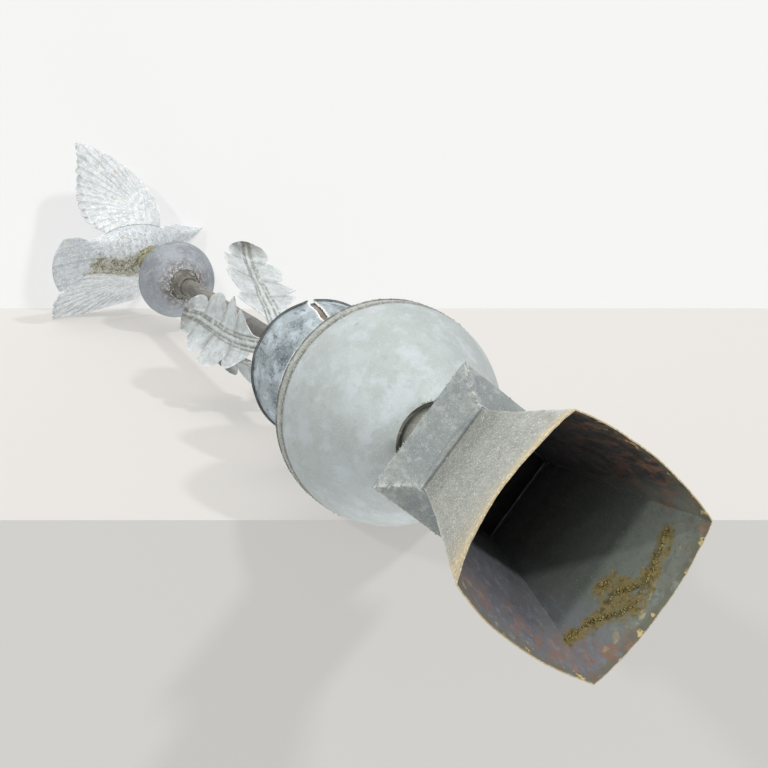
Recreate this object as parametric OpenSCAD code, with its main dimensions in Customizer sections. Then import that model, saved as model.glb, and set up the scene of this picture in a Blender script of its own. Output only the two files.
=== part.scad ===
// Zinc roof finial: a square boot, a collar and a short neck carry a globe, a cup with
// four leaves, a long stem, a ball and a dove with raised wings.
// Millimetres. +Z runs up the stem, and the origin is on the stem's axis at the boot's rim.

/* [Sheet zinc] */
// Thickness of the sheet that the boot, globe, cup and ball are made of
sheet = 1.5; // [0.8:0.1:3]

/* [Boot] */
// Half width of the boot's mouth, measured at its corners
mouth_half = 104; // [80:1:140]
// How far the middle of each mouth edge bows outwards
mouth_bow = 14; // [0:1:25]
// How far the mouth is knocked sideways from the axis
mouth_shift = [-11, 6]; // [-20:1:20]
// How far the front left corner is pushed in towards the back
dented_corner = 8; // [0:1:12]
// Height of the boot from its rim to the waist
boot_h = 250; // [180:5:320]
// Half width of the square waist
waist_half = 56; // [45:1:70]

/* [Collar] */
// Height of the folded band that joins the boot and the collar
band_h = 9; // [5:1:15]
// How far that band stands out from the waist
band_out = 3; // [1:0.5:6]
// Height of the flared collar
flare_h = 30; // [20:1:50]
// Half width of the collar's sharp edge
collar_half = 89; // [75:1:110]
// Height of the upright lip at that edge
lip_h = 4; // [2:1:10]
// Height of the hollow roof that closes in from the collar to the neck
roof_h = 75; // [50:1:110]

/* [Neck and globe] */
// Radius of the neck tube
neck_r = 45; // [35:1:52]
// Height from the collar's roof to the hole in the globe
neck_h = 37; // [25:1:60]
// Open gap between the neck and the edge of the globe's hole
neck_gap = 10; // [4:1:14]
// Width of the neck's flange, which is soldered inside the globe
flange_w = 30; // [20:1:40]
// Radius of the globe at its rim band
globe_r = 150; // [120:1:190]
// Height of the globe's lower bowl, from the hole to the seam
bowl_h = 170; // [120:1:220]
// Height of the upright band above the seam
rim_band_h = 28; // [12:1:45]
// Height of the globe's upper dome
dome_h = 146; // [100:1:190]

/* [Cup] */
// Radius of the cup's foot
cup_foot_r = 36; // [28:1:50]
// Radius of the cup's rim
cup_r = 105; // [80:1:130]
// Height of the cup
cup_h = 136; // [100:1:180]
// Width of the split in the cup's upright seam
split_w = 9; // [4:1:14]
// How far the split runs down from the rim
split_h = 95; // [50:1:98]
// Direction of the split round the axis
split_turn = -38; // [-180:1:180]
// Rise of the cup's cover from its rim to the stem
cover_h = 22; // [10:1:40]

/* [Stem and ball] */
// Radius of the stem
stem_r = 17; // [12:1:22]
// Length of the stem from the cup's foot to the centre of the ball
stem_h = 1123; // [900:1:1300]
// Radius of the ball
ball_r = 80; // [60:1:100]
// How far the ball's lapped seam stands proud
seam_out = 1; // [0.5:0.1:2]

/* [Leaves] */
// Direction of each leaf round the axis
leaf_turns = [-51, -127, -204, 48]; // [-210:1:180]
// How far each leaf is bent outwards
leaf_bends = [9, 1, 6, 4]; // [0:1:15]
// Height of the leaves' roots above the cup's rim
leaf_rise = 200; // [90:2:300]
// Length of a leaf along its middle rib
leaf_len = 260; // [200:5:320]
// Half width of a leaf over its widest lobes
leaf_half = 60; // [45:1:70]
// Thickness of a leaf
leaf_t = 2; // [1:0.5:4]

/* [Dove] */
// Size of the dove against the one drawn here
dove_size = 1; // [0.8:0.05:1.2]
// Direction that the dove faces, round the axis
dove_turn = 50; // [0:1:90]
// How far the dove leans back
dove_pitch = 15; // [0:1:25]
// How far the dove leans over to its right
dove_roll = 17; // [0:1:25]
// Height of the stub between the ball and the dove's belly
stub_h = 30; // [15:1:50]
// Thickness of a wing
wing_t = 3; // [2:0.5:6]

/* [Hidden] */

zinc = [0.70, 0.73, 0.74];
pale_zinc = [0.78, 0.80, 0.81];
dark_zinc = [0.52, 0.55, 0.58];
brown = [0.42, 0.38, 0.33];
crust = [0.50, 0.48, 0.36];

// what lies 'seat' apart counts as touching
seat = 0.2;
waist_z = boot_h;
flare_z = waist_z + band_h;
lip_z = flare_z + flare_h;
roof_z = lip_z + lip_h;
neck_z = roof_z + roof_h;
hole_z = neck_z + neck_h;
hole_r = neck_r + neck_gap;
seam_z = hole_z + bowl_h;
dome_z = seam_z + rim_band_h;
cup_z = dome_z + dome_h;
rim_z = cup_z + cup_h;
ball_z = cup_z + stem_h;
leaf_z = rim_z + leaf_rise;
arc_steps = 14;

// ---- shapes that the pieces share ----

// flat list of the points of several rings
function joined(rings) = [for (ring = rings) for (p = ring) p];

// smooth curve through a list of stations, for t from 0 to 1
function smooth(t, p) =
    let (n = len(p) - 1, i = min(floor(t * n), n - 1), u = t * n - i,
         a = p[max(i - 1, 0)], b = p[i], c = p[i + 1], d = p[min(i + 2, n)])
    0.5 * (2 * b + (c - a) * u + (2 * a - 5 * b + 4 * c - d) * u * u
           + (3 * b - a - 3 * c + d) * u * u * u);

// triangles of the skin between rings of n points, m rings high
function skin(n, m, start = 0, flip = false) =
    [for (i = [0:m - 2]) for (j = [0:n - 1])
        let (a = start + i * n + j, b = start + i * n + (j + 1) % n, c = b + n, d = a + n)
        each flip ? [[a, b, c], [a, c, d]] : [[a, d, c], [a, c, b]]];

// tube of sheet between an outer and an inner stack of rings
module sheet_tube(outer, inner) {
    n = len(outer[0]);
    m = len(outer);
    last = (m - 1) * n;
    polyhedron(joined(concat(outer, inner)), concat(
        skin(n, m), skin(n, m, m * n, true),
        [for (j = [0:n - 1]) let (k = (j + 1) % n) each
            [[j, k, m * n + k], [j, m * n + k, m * n + j]]],
        [for (j = [0:n - 1]) let (k = (j + 1) % n, o = last, i = m * n + last) each
            [[o + j, i + j, i + k], [o + j, i + k, o + k]]]), convexity = 6);
}

// closed solid through a stack of rings, each end closed by strips from side to side
module lofted(rings) {
    n = len(rings[0]);
    m = len(rings);
    function cap(start, flip) = [for (j = [0:n / 2 - 1])
        let (a = start + j, b = start + j + 1, c = start + n - j - 1, d = start + (n - j) % n)
        each [for (f = [j < n / 2 - 1 ? [a, b, c] : [], j > 0 ? [a, c, d] : []])
            if (len(f) > 0) flip ? [f[2], f[1], f[0]] : f]];
    polyhedron(joined(rings), concat(skin(n, m), cap(0, false), cap((m - 1) * n, true)),
        convexity = 4);
}

// plate of thickness t that follows a grid of points
module plate(grid, t) {
    rows = len(grid);
    cols = len(grid[0]);
    function across(i, j) = let (
        du = grid[min(i + 1, rows - 1)][j] - grid[max(i - 1, 0)][j],
        dv = grid[i][min(j + 1, cols - 1)] - grid[i][max(j - 1, 0)],
        n = cross(du, dv)) n / norm(n);
    function side(d) = [for (i = [0:rows - 1]) [for (j = [0:cols - 1])
        grid[i][j] + d * across(i, j)]];
    count = rows * cols;
    edge = concat([for (j = [0:cols - 2]) j], [for (i = [0:rows - 2]) i * cols + cols - 1],
        [for (j = [cols - 1:-1:1]) (rows - 1) * cols + j], [for (i = [rows - 1:-1:1]) i * cols]);
    polyhedron(joined(concat(side(t / 2), side(-t / 2))), concat(
        [for (i = [0:rows - 2]) for (j = [0:cols - 2])
            let (a = i * cols + j, b = a + 1, c = a + cols + 1, d = a + cols)
            each [[a, b, c], [a, c, d], [count + a, count + c, count + b],
                  [count + a, count + d, count + c]]],
        [for (k = [0:len(edge) - 1]) let (a = edge[k], b = edge[(k + 1) % len(edge)])
            each [[b, a, count + a], [b, count + a, count + b]]]), convexity = 6);
}

// points of a quarter ellipse of width w and height h, from the angle a to the angle b
function quarter(w, h, a, b) = [for (k = [0:arc_steps])
    let (t = a + (b - a) * k / arc_steps) [w * cos(t), h * sin(t)]];

// ring round a square of half width h whose edges bow out by 'bow'
side_points = 8;
function bowed(h, bow, z, dent = 0) = [for (s = [0:3]) for (k = [0:side_points - 1])
    let (u = 2 * k / side_points - 1, out = h + bow * (1 - u * u), turn = 90 * s,
         near = s == 0 ? max(-u, 0) : s == 3 ? max(u, 0) : 0)
    [u * h * cos(turn) + out * sin(turn), u * h * sin(turn) - out * cos(turn)
     + dent * near * near, z]];

// ---- boot, waist band and collar ----

boot_levels = 6;
function boot_ring(k, inset) =
    let (t = k / boot_levels, open = pow(1 - t, 1.15))
    [for (p = bowed(waist_half + (mouth_half - waist_half) * open - inset,
                    mouth_bow * pow(1 - t, 1.6), waist_z * t, dented_corner * pow(1 - t, 2)))
        p + open * [mouth_shift.x, mouth_shift.y, 0]];

module boot() {
    color(zinc) sheet_tube([for (k = [0:boot_levels]) boot_ring(k, 0)],
        [for (k = [0:boot_levels]) boot_ring(k, sheet)]);
}

module waist_band() {
    color(zinc) translate([0, 0, waist_z]) linear_extrude(band_h) difference() {
        square(2 * (waist_half + band_out), center = true);
        square(2 * (waist_half - sheet), center = true);
    }
}

// the flare hollows slightly between the waist and its edge
flare_stations = [[0, 0], [0.45, 0.34], [1, 1]];
module collar() {
    function ring(k, inset) =
        let (s = flare_stations[k])
        bowed(waist_half + (collar_half - waist_half) * s.y - inset, 0, flare_z + flare_h * s.x);
    function lip(inset) = bowed(collar_half - inset, 0, roof_z);
    color(zinc) sheet_tube([ring(0, 0), ring(1, 0), ring(2, 0), lip(0)],
        [ring(0, sheet), ring(1, sheet), ring(2, sheet), lip(sheet)]);
}

roof_levels = 6;
module collar_roof() {
    function ring(k, inset) =
        let (t = k / roof_levels, z = roof_z + roof_h * t, close = pow(t, 0.7))
        [for (p = bowed(collar_half - inset, 0, z))
            let (r = norm([p.x, p.y]), round_p = p * (neck_r - inset) / r)
            [p.x + (round_p.x - p.x) * close, p.y + (round_p.y - p.y) * close, z]];
    color(zinc) sheet_tube([for (k = [0:roof_levels]) ring(k, 0)],
        [for (k = [0:roof_levels]) ring(k, sheet)]);
}

// ---- neck and globe ----

// the bowl is part of an ellipse that is as wide as the globe at the seam
bowl_from = acos(hole_r / globe_r);
bowl_depth = bowl_h / sin(bowl_from);
function bowl_floor_at(r) =
    seam_z - (bowl_depth - sheet) * sqrt(1 - pow(r / (globe_r - sheet), 2));

module neck() {
    flange_r = neck_r + flange_w;
    flange_z = bowl_floor_at(flange_r) + seat;
    color(pale_zinc) rotate_extrude($fn = 64) polygon([
        [neck_r - sheet, neck_z], [neck_r, neck_z], [neck_r, flange_z],
        [flange_r, flange_z], [flange_r, flange_z + sheet], [neck_r - sheet, flange_z + sheet]]);
}

module globe_bowl() {
    outer = [for (p = quarter(globe_r, -bowl_depth, bowl_from, 0)) [p.x, seam_z + p.y]];
    inner = [for (p = quarter(globe_r - sheet, sheet - bowl_depth, 0, bowl_from))
        [p.x, seam_z + p.y]];
    color(pale_zinc) rotate_extrude($fn = 96) polygon(concat(outer, inner));
}

module globe_dome() {
    top_to = acos(cup_foot_r / globe_r);
    dome_depth = dome_h / sin(top_to);
    outer = [for (p = quarter(globe_r, dome_depth, 0, top_to)) [p.x, dome_z + p.y]];
    inner = [for (p = quarter(globe_r - sheet, dome_depth - sheet, top_to, 0))
        [p.x, dome_z + p.y]];
    crown = [[cup_foot_r, cup_z], [stem_r + seat, cup_z], [stem_r + seat, cup_z - sheet]];
    color(zinc) rotate_extrude($fn = 96) polygon(concat(
        [[globe_r - sheet, seam_z], [globe_r, seam_z]], outer, crown, inner));
}

// ---- cup ----

// the cup widens quickly above its foot and then stands up towards the rim
cup_curve = 1.7;
function cup_wall(inset) = [for (k = [0:arc_steps])
    let (t = k / arc_steps)
    [cup_foot_r + (cup_r - cup_foot_r) * pow(1 - pow(1 - t, cup_curve), 1 / cup_curve) - inset,
     cup_z + cup_h * t]];

module cup() {
    outer = cup_wall(0);
    inner = [for (k = [arc_steps:-1:1]) cup_wall(sheet)[k]];
    floor_ring = [[stem_r + seat, cup_z + sheet], [stem_r + seat, cup_z]];
    color(dark_zinc) difference() {
        rotate_extrude($fn = 96) polygon(concat(outer, inner, floor_ring));
        rotate([0, 0, split_turn]) translate([cup_foot_r, -split_w / 2, rim_z - split_h])
            cube([cup_r, split_w, split_h + sheet]);
    }
}

module cup_cover() {
    cover_r = cup_r - sheet - seat;
    low = rim_z - 2 * sheet;
    color(dark_zinc) rotate_extrude($fn = 96) polygon([
        [cover_r, low], [cover_r, low + sheet], [stem_r + seat, low + cover_h],
        [stem_r + seat, low + cover_h - sheet]]);
}

// ---- stem and ball ----

// a tube closed at both ends, from just under the globe's crown into the ball
module stem() {
    wall = 2 * sheet;
    tube_h = stem_h - ball_r / 2 + 2 * wall;
    color(brown) translate([0, 0, cup_z - 2 * wall]) difference() {
        cylinder(r = stem_r, h = tube_h, $fn = 48);
        translate([0, 0, wall]) cylinder(r = stem_r - wall, h = tube_h - 2 * wall, $fn = 48);
    }
}

// half of the ball: a shell whose open edge is at the ball's middle
module half_ball(pole_r, lap) {
    pole = acos(pole_r / ball_r);
    inner_pole = pole_r > 0 ? acos(pole_r / (ball_r - sheet)) : 90;
    outer = quarter(ball_r, ball_r, lap > 0 ? asin(lap / ball_r) : 0, pole);
    inner = quarter(ball_r - sheet, ball_r - sheet, inner_pole, 0);
    lap_ring = lap > 0 ? [[ball_r + seam_out, 0], [ball_r + seam_out, lap]] : [];
    rotate_extrude($fn = 96) polygon(concat(lap_ring, outer, inner));
}

module ball_lower() {
    color(dark_zinc) translate([0, 0, ball_z]) mirror([0, 0, 1]) half_ball(stem_r + seat, 0);
}

module ball_upper() {
    color(dark_zinc) translate([0, 0, ball_z]) half_ball(0, 4);
}

// ---- leaves ----

leaf_rows = 26;
leaf_cols = 7;
leaf_lobes = 4;

// The middle rib springs out from the stem, stands up and turns over outwards at the tip.
// It drifts sideways as it rises, and the blade is twisted about it and folded along it.
leaf_leans = [46, 30, 15, 8, 8, 16, 58];
leaf_drift = 11;
leaf_twist = -32;
leaf_fold = 0.22;

function unit(a) = a / norm(a);
function along(t, bend) = let (lean = smooth(t, leaf_leans) + bend)
    unit([sin(lean), t * sin(leaf_drift), cos(lean)]);
function rib(k, bend) = k == 0 ? [stem_r + leaf_t / 2 + seat, 0, leaf_z]
    : rib(k - 1, bend) + leaf_len / (leaf_rows - 1) * along(k / (leaf_rows - 1), bend);

// a narrow stalk, then rounded lobes in pairs that shrink towards the tip
leaf_outline = [0.16, 0.30, 0.85, 1.0, 0.95, 0.82, 0.62, 0.18];
function leaf_width(t) = leaf_half * smooth(t, leaf_outline)
    * (1 - 0.22 * pow(abs(cos(180 * leaf_lobes * t)), 3) * (t > 0.2 ? 1 : 0));

module leaf(k) {
    grid = [for (i = [0:leaf_rows - 1])
        let (t = i / (leaf_rows - 1), w = leaf_width(t), up = along(t, leaf_bends[k]),
            e = unit([0, 1, 0] - up.y * up), n = cross(e, up), turn = leaf_twist * min(1, 2 * t),
            across = cos(turn) * e + sin(turn) * n, out = cos(turn) * n - sin(turn) * e)
        [for (j = [0:leaf_cols - 1]) let (v = 2 * j / (leaf_cols - 1) - 1)
            rib(i, leaf_bends[k]) + w * (v * across + leaf_fold * abs(v) * out)]];
    color(pale_zinc) rotate([0, 0, leaf_turns[k]]) plate(grid, leaf_t);
}

// ---- dove ----

// The dove faces +X with its left side at +Y, and turns its head to its right. Each station
// down its length, from the tail's end to the beak's tip, has the place, half width, half
// height, height of the middle and how far the middle lies to the left.
dove_stations = [[-178, 60, 2.5, -16, 10], [-146, 56, 4, -10, 7], [-112, 40, 9, -4, 3],
    [-75, 44, 26, 0, 0], [-35, 55, 42, 0, 0], [5, 57, 48, 0, 0], [42, 50, 44, 6, 0],
    [72, 37, 37, 20, 0], [95, 29, 31, 36, -3], [115, 26, 28, 46, -8], [133, 19, 21, 48, -13],
    [145, 9, 10, 44, -17], [158, 5, 5, 39, -20], [173, 1, 1, 33, -23]];
dove_x = -16;
dove_belly = 48;
dove_rings = 30;
dove_ring_points = 20;
// the middle of the fanned tail reaches further back than its corners
tail_round = 20;

// puts a piece of the dove on the ball, leaning as the dove does
module perched() {
    translate([0, 0, ball_z]) rotate([dove_roll, -dove_pitch, dove_turn])
        translate([0, 0, ball_r]) children();
}

function dove_at(t) = smooth(t, dove_stations);
function dove_skin(t, angle) =
    let (s = dove_at(t), round_end = tail_round * max(0, 1 - 6 * t) * pow(sin(angle), 2))
    dove_size * [s.x + dove_x - round_end, s.y * cos(angle) + s[4],
                 s[3] + dove_belly + s.z * sin(angle)] + [0, 0, stub_h + seat];

module dove_body() {
    color(zinc) perched() lofted([for (i = [0:dove_rings])
        [for (j = [0:dove_ring_points - 1])
            dove_skin(i / dove_rings, 360 * j / dove_ring_points)]]);
}

module dove_stub() {
    stub_r = 20;
    color(crust) perched() difference() {
        translate([0, 0, -stub_h / 2]) cylinder(r1 = 1.3 * stub_r, r2 = stub_r,
            h = 1.5 * stub_h, $fn = 40);
        translate([0, 0, -ball_r]) sphere(r = ball_r + seat, $fn = 96);
    }
}

// Edges of a wing laid flat: how far back and how far out from the front of its root.
// The right wing is spread, and the left one is half folded at its wrist.
right_front = [[0, 0], [-8, 34], [0, 76], [34, 128], [84, 168], [134, 192], [158, 194]];
right_back = [[134, 0], [152, 30], [166, 62], [170, 98], [168, 136], [164, 168], [160, 190]];
left_front = [[0, 0], [-6, 58], [2, 124], [40, 138], [92, 150], [146, 166], [192, 172]];
left_back = [[134, 0], [160, 28], [186, 50], [208, 74], [220, 100], [218, 134], [206, 160]];
wing_rows = 13;
wing_cols = 9;
wing_root_front = 0.52;
wing_root_rear = 0.24;
wing_root_angle = 18;

// side is 1 on the left and -1 on the right, and 'raised' lifts the wing
module wing(side, raised, front_edge, back_edge) {
    root_gap = wing_t / 2 * abs(sin(raised - wing_root_angle)) + seat;
    off_skin = root_gap * [0, side * cos(wing_root_angle), sin(wing_root_angle)];
    grid = [for (i = [0:wing_rows - 1])
        let (v = i / (wing_rows - 1), front = smooth(v, front_edge), back = smooth(v, back_edge))
        [for (j = [0:wing_cols - 1])
            let (u = j / (wing_cols - 1),
                root = dove_skin(wing_root_front + (wing_root_rear - wing_root_front) * u,
                                 side > 0 ? wing_root_angle : 180 - wing_root_angle),
                flat = front + (back - front) * u,
                lift = 14 * sin(180 * u) * min(1, 3 * v) - 0.0006 * flat.y * flat.y)
            root + dove_size * [back_edge[0].x * u - flat.x,
                                side * (flat.y * cos(raised) - lift * sin(raised)),
                                flat.y * sin(raised) + lift * cos(raised)]
            + off_skin]];
    color(pale_zinc) perched() plate(side > 0 ? grid : [for (row = grid)
        [for (j = [wing_cols - 1:-1:0]) row[j]]], wing_t);
}

module dove_right_wing() wing(-1, 45, right_front, right_back);
module dove_left_wing() wing(1, 30, left_front, left_back);

boot();
waist_band();
collar();
collar_roof();
neck();
globe_bowl();
globe_dome();
cup();
cup_cover();
stem();
leaf(0);  // leaf_1
leaf(1);  // leaf_2
leaf(2);  // leaf_3
leaf(3);  // leaf_4
ball_lower();
ball_upper();
dove_stub();
dove_body();
dove_right_wing();
dove_left_wing();
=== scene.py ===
import math

import bmesh
import bpy
import numpy as np
from mathutils import Matrix, Vector, noise


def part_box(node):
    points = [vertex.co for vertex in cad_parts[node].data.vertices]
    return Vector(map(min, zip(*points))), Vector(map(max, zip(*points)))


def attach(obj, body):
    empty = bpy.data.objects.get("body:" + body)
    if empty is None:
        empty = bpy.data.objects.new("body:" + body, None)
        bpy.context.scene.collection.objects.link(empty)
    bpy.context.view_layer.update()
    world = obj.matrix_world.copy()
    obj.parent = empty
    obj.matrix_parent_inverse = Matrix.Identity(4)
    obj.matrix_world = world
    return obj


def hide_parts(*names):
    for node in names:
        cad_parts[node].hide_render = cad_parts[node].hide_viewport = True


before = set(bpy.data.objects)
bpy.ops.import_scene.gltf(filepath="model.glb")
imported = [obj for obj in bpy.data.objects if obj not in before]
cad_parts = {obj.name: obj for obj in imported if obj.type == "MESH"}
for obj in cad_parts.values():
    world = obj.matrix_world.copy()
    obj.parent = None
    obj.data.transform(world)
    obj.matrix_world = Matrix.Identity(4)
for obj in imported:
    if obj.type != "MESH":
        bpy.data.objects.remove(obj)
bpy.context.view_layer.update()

# ---- Boot ----
# The boot is the square foot that slides over the roof post: four bowed sheets of zinc soldered
# along the hips. Its mouth was knocked sideways in use and one corner is pushed in. Outside it
# is weathered grey, its rim carries ochre mortar, and its top edge under the band is painted
# dark as shade. Its inside is painted near black as shade, with painted light on its left and
# far walls near the mouth.

MM = 0.001
SHEET = 1.5
MIX_FROM, MIX_TO, MIX_RESULT = 6, 7, 2  # the colour sockets of a Mix node


def tone(code):
    """The linear colour of a six-figure hex tone."""
    parts = [int(code[i:i + 2], 16) / 255 for i in (0, 2, 4)]
    return tuple(c / 12.92 if c < 0.04045 else ((c + 0.055) / 1.055) ** 2.4 for c in parts) + (1,)


def add_node(tree, kind, *values, named=None, **settings):
    """A node with its settings made and its inputs filled, in order or by name.

    An input takes a number, a socket, or a node, which stands for its first output."""
    node = tree.nodes.new(kind)
    for key, value in settings.items():
        setattr(node, key, value)
    filled = list(zip(node.inputs, values))
    filled += [(node.inputs[name], value) for name, value in (named or {}).items()]
    for socket, value in filled:
        if isinstance(value, bpy.types.Node):
            value = value.outputs[0]
        if isinstance(value, bpy.types.NodeSocket):
            tree.links.new(value, socket)
        elif value is not None:
            socket.default_value = value
    return node


def reckon(tree, kind, *values, clamped=False):
    """The result of one step of arithmetic on sockets and numbers."""
    return add_node(tree, "ShaderNodeMath", *values, operation=kind, use_clamp=clamped).outputs[0]


def grain(tree, place, size, turn, stretch=(1, 1, 1)):
    """Noise with patches of a size in millimetres, drawn out along the axes by stretch."""
    scale = [1 / (size * MM * s) for s in stretch]
    mapping = add_node(tree, "ShaderNodeMapping", place, (turn * 3.1, turn * 5.7, turn), (0, 0, 0), scale)
    return add_node(tree, "ShaderNodeTexNoise", noise_dimensions="3D", named={
        "Vector": mapping, "Scale": 1.0, "Detail": 5.0, "Roughness": 0.62})


def finish(name, base, layers, roughness=(0.55, 0.75), bumps=((3, 0.25), (0.8, 0.08)), metallic=0.25):
    """A weathered finish: a base tone, then one tone after another laid on where its grain is high.

    A layer is (tone, share, size, low, high), then, if it needs them, how far its grain is drawn
    out along the axes and the name of the attribute that it keeps to. A bump is (size, height)."""
    material = bpy.data.materials.new(name)
    material.use_nodes = True
    tree = material.node_tree
    shader = tree.nodes["Principled BSDF"]
    place = add_node(tree, "ShaderNodeTexCoord").outputs["Object"]
    colour = tone(base)
    for turn, (shade, share, size, low, high, *more) in enumerate(layers):
        stretch = more[0] if more and more[0] else (1, 1, 1)
        mask = add_node(tree, "ShaderNodeMapRange", grain(tree, place, size, turn, stretch),
                        low, high, 0.0, share, interpolation_type="SMOOTHSTEP")
        if len(more) > 1:
            where = add_node(tree, "ShaderNodeAttribute", attribute_name=more[1]).outputs["Fac"]
            mask = reckon(tree, "MULTIPLY", mask, where, clamped=True)
        mix = add_node(tree, "ShaderNodeMix", data_type="RGBA", named={
            "Factor": mask, MIX_FROM: colour, MIX_TO: tone(shade)})
        colour = mix.outputs[MIX_RESULT]
    height = 0.0
    for turn, (size, depth) in enumerate(bumps):
        part = reckon(tree, "MULTIPLY", grain(tree, place, size, 41 + turn), depth * MM)
        height = reckon(tree, "ADD", height, part)
    bump = add_node(tree, "ShaderNodeBump", named={"Strength": 1.0, "Distance": 1.0, "Height": height})
    shine = add_node(tree, "ShaderNodeMapRange", grain(tree, place, 14, 31), 0.3, 0.7, *roughness)
    for socket, value in (("Base Color", colour), ("Roughness", shine.outputs[0]),
                          ("Normal", bump.outputs[0])):
        tree.links.new(value, shader.inputs[socket])
    shader.inputs["Metallic"].default_value = metallic
    return material


def rough(p, size, turn=0.0):
    """Smooth noise from about -1 to 1 at a point, with bumps of the given size."""
    return noise.noise(Vector((p[0] / size + turn, p[1] / size - turn, p[2] / size + 2 * turn)))


def rough_over(grid, *layers):
    """Noise over a grid of points, from layers of (share, size, turn)."""
    return np.array([[sum(share * rough(p, size, turn) for share, size, turn in layers)
                      for p in row] for row in grid])


def clamp(x):
    """A number held between 0 and 1."""
    return min(1, max(0, x))


def in_scene(name, data):
    """A new object at the origin."""
    piece = bpy.data.objects.new(name, data)
    bpy.context.scene.collection.objects.link(piece)
    return piece


def mark(mesh, name, values):
    """Numbers at a mesh's points, which its finish reads."""
    mesh.attributes.new(name, "FLOAT", "POINT").data.foreach_set("value", np.ravel(values))


def settle(piece, slot, *nodes):
    """Fixes a finished piece to the one body and hides the solids that it stands for."""
    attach(piece, "root")
    if nodes:
        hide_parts(*nodes)


def plain_mesh(piece):
    """Turns an object and its modifiers into a plain mesh."""
    graph = bpy.context.evaluated_depsgraph_get()
    mesh = bpy.data.meshes.new_from_object(piece.evaluated_get(graph), depsgraph=graph)
    piece.modifiers.clear()
    piece.data = mesh
    return piece


def sheet_piece(name, grid, materials, thickness=SHEET, closed=True, marks=None, crease=40, middle=0):
    """A sheet that follows a grid of points in millimetres, given thickness behind its face.

    Rows run up and columns run round. marks are numbers at the points that its finish reads.
    middle is 0 where the grid is the outer face and 1 where it is the middle of the sheet."""
    grid = np.asarray(grid, float)
    rows, cols = grid.shape[:2]
    faces = []
    for i in range(rows - 1):
        for j in range(cols if closed else cols - 1):
            k = (j + 1) % cols
            faces.append((i * cols + j, i * cols + k, (i + 1) * cols + k, (i + 1) * cols + j))
    mesh = bpy.data.meshes.new(name)
    mesh.from_pydata((grid.reshape(-1, 3) * MM).tolist(), [], faces)
    for key, values in (marks or {}).items():
        mark(mesh, key, values)
    piece = in_scene(name, mesh)
    for material in materials:
        mesh.materials.append(material)
    if thickness:
        wall = piece.modifiers.new("wall", "SOLIDIFY")
        wall.thickness = thickness * MM
        wall.offset = middle - 1
        wall.use_even_offset = crease < 70
        wall.material_offset = len(materials) - 1
        plain_mesh(piece)
    piece.data.shade_smooth()
    piece.data.set_sharp_from_angle(angle=math.radians(crease))
    return piece


def near_path(points, path, width):
    """1 on a path and 0 beyond its width, for each point."""
    best = np.full(points.shape[:-1], 1e9)
    for a, b in zip(np.array(path[:-1], float), np.array(path[1:], float)):
        share = np.clip(((points - a) @ (b - a)) / ((b - a) @ (b - a)), 0, 1)
        best = np.minimum(best, np.linalg.norm(points - (a + share[..., None] * (b - a)), axis=-1))
    return np.clip(1.5 - 1.5 * best / width, 0, 1)


waist_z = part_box("boot")[1].z / MM
waist_half = 56
mouth_half = 104
mouth_bow = 14
mouth_shift = (-11, 6)
dented_corner = 8
boot_rows = 100
boot_side_points = 56


def square_ring(half, bow, z, per_side, corner=0.0):
    """Points round a square whose edges bow out, from its front left corner."""
    ring = []
    for side in range(4):
        for k in range(per_side):
            u = 2 * k / per_side - 1
            out = half + bow * (1 - u * u) - corner * abs(u) ** 12
            turn = math.radians(90 * side)
            ring.append((u * half * math.cos(turn) + out * math.sin(turn),
                         u * half * math.sin(turn) - out * math.cos(turn), z))
    return ring


boot_grid = []
for row in range(boot_rows):
    t = (row / (boot_rows - 1)) ** 1.2
    spread = (1 - t) ** 1.15
    ring = square_ring(waist_half + (mouth_half - waist_half) * spread,
                       mouth_bow * (1 - t) ** 1.6, waist_z * t, boot_side_points)
    for k, (x, y, z) in enumerate(ring):
        side, u = divmod(k, boot_side_points)
        u = 2 * u / boot_side_points - 1
        corner = max(-u, 0) if side == 0 else max(u, 0) if side == 3 else 0
        x += spread * mouth_shift[0]
        y += spread * mouth_shift[1] + dented_corner * (1 - t) ** 2 * corner ** 2
        out = Vector((x - spread * mouth_shift[0], y - spread * mouth_shift[1], 0)).normalized()
        dent = (1.3 * rough((x, y, z), 55, 1) + 0.5 * rough((x, y, z), 17, 2)) * min(1, 3 * (1 - t))
        edge = 0.9 * rough((x, y, 0), 9, 3) * math.exp(-z / 4)
        ring[k] = (x + dent * out.x, y + dent * out.y, z + edge)
    boot_grid.append(ring)
boot_grid = np.array(boot_grid)

along_side = np.tile(np.abs(2 * np.arange(boot_side_points) / boot_side_points - 1), 4)
hip = np.exp(-(1 - along_side)[None, :] * boot_grid[..., :2].max() / 2.2) * np.ones(boot_grid.shape[:2])
height = boot_grid[..., 2]
mortar = 1.7 * np.exp(-height / 11)
mortar += 1.3 * np.exp(-np.linalg.norm(boot_grid - np.array([-112, -92, 12]), axis=-1) / 30)
crust_trails = (((-94, 96, 63), (-69, 101, 57), (-50, 107, 47), (-38, 112, 34), (-22, 115, 28)),
                ((-26, 98, 77), (-18, 101, 72)), ((-24, 106, 57), (-34, 105, 55)),
                ((-24, 107, 56), (-13, 109, 46), (-4, 112, 37)),
                ((-8, 115, 30), (6, 114, 33), (23, 111, 37), (42, 108, 41), (58, 105, 45)))
crust_mark = sum(near_path(boot_grid, trail, 21) for trail in crust_trails)
crust_patchy = rough_over(boot_grid, (0.8, 13, 45), (0.7, 5, 46))
crust_mark = 2.4 * (np.clip(crust_mark, 0, 1) - 0.62 + 0.55 * crust_patchy)
# Painted light: the left inner wall is marked lighter near the mouth, where light falls on it.
left_wall_light = np.clip(-boot_grid[..., 0] / 40 - 1.0, 0, 1) * np.exp(-height / 150)
rusty = (np.clip(-boot_grid[..., 0] / 30 - 1.2, 0, 1) * np.exp(-height / 45)
         + 0.8 * np.clip(boot_grid[..., 0] / 30 - 1.6, 0, 1) * np.exp(-height / 60))
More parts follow.
